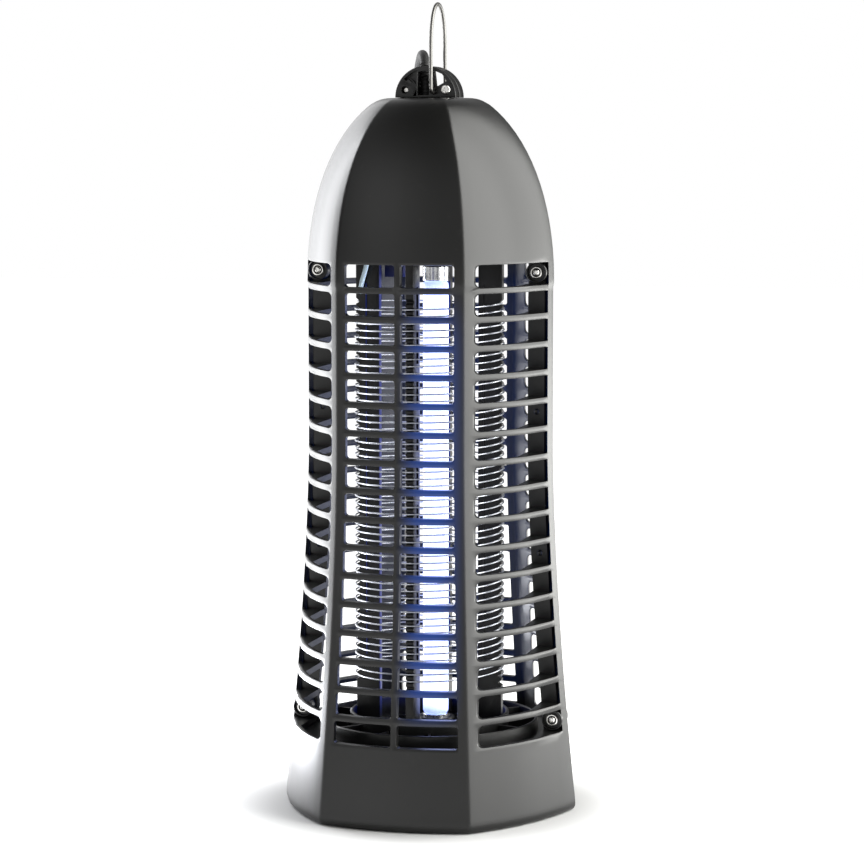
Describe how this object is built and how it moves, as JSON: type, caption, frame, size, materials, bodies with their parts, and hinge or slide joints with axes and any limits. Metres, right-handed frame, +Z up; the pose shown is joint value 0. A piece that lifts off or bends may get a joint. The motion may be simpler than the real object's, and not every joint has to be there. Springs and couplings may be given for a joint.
{
  "type": "electric bug zapper",
  "caption": "Hexagonal lantern-shaped electric insect killer: slatted grille round a blacklight tube and wire cage, domed top with a hanging bail and mains lead, pull-out tray.",
  "frame": {"origin": "centre of the base, on the surface it stands on", "axes": "+Z up the lamp's axis, front flat facing -Y, +X to the right seen from the front; the seam between the half shells is the plane Y = 0"},
  "size_m": [0.2328, 0.284, 0.4956],
  "materials": {
    "casing": "satin black ABS",
    "inner_plastic": "satin black",
    "steel": "bright zinc or nickel plate",
    "electrode": "drawn steel wire",
    "aluminium": "rolled",
    "lamp_glass": "phosphor-coated tube, lit",
    "rubber": "matt",
    "cord_sheath": "satin PVC",
    "lead_sleeve": "silicone sleeve",
    "board": "solder mask",
    "iron": "varnished laminations",
    "capacitor": "sleeved"
  },
  "bodies": {
    "housing": {"front_shell": "casing", "rear_shell": "casing", "case_screw_upper_left": "steel", "case_screw_upper_right": "steel", "case_screw_lower_left": "steel", "case_screw_lower_right": "steel", "hanger_bracket_front": "casing", "hanger_bracket_rear": "casing", "bracket_screw_left": "steel", "bracket_screw_right": "steel", "lower_deck": "inner_plastic", "upper_deck": "inner_plastic", "lamp_holder_lower": "inner_plastic", "lamp_holder_upper": "inner_plastic", "lamp_tube": "lamp_glass", "lamp_cap_lower": "aluminium", "lamp_cap_upper": "aluminium", "cage_post_front": "inner_plastic", "cage_post_right": "inner_plastic", "cage_post_rear": "inner_plastic", "cage_post_left": "inner_plastic", "electrode_wire_a": "electrode", "electrode_wire_b": "electrode", "high_voltage_lead_a": "lead_sleeve", "high_voltage_lead_b": "lead_sleeve", "circuit_board": "board", "ballast_choke": "iron", "step_up_transformer": "iron", "capacitor_a": "capacitor", "capacitor_b": "capacitor", "lamp_starter": "inner_plastic", "base_plate": "casing", "foot_front_left": "rubber", "foot_front_right": "rubber", "foot_rear_left": "rubber", "foot_rear_right": "rubber", "strain_relief": "cord_sheath", "mains_cord": "cord_sheath", "mains_cord_coil": "cord_sheath", "cord_tie": "cord_sheath", "mains_cord_tail": "cord_sheath", "plug_body": "cord_sheath", "plug_pin_a": "steel", "plug_pin_b": "steel"},
    "bail": {"bail": "steel"},
    "tray": {"collecting_tray": "casing"}
  },
  "joints": [
    {"name": "bail_swing", "type": "hinge", "parent": "housing", "child": "bail", "pos_m": [0.0053, 0, 0.441], "axis": [0, 1, 0], "range_deg": [-14, 88]},
    {"name": "tray_slide", "type": "slide", "parent": "housing", "child": "tray", "axis": [0, 1, 0], "range_m": [0, 0.11]}
  ]
}
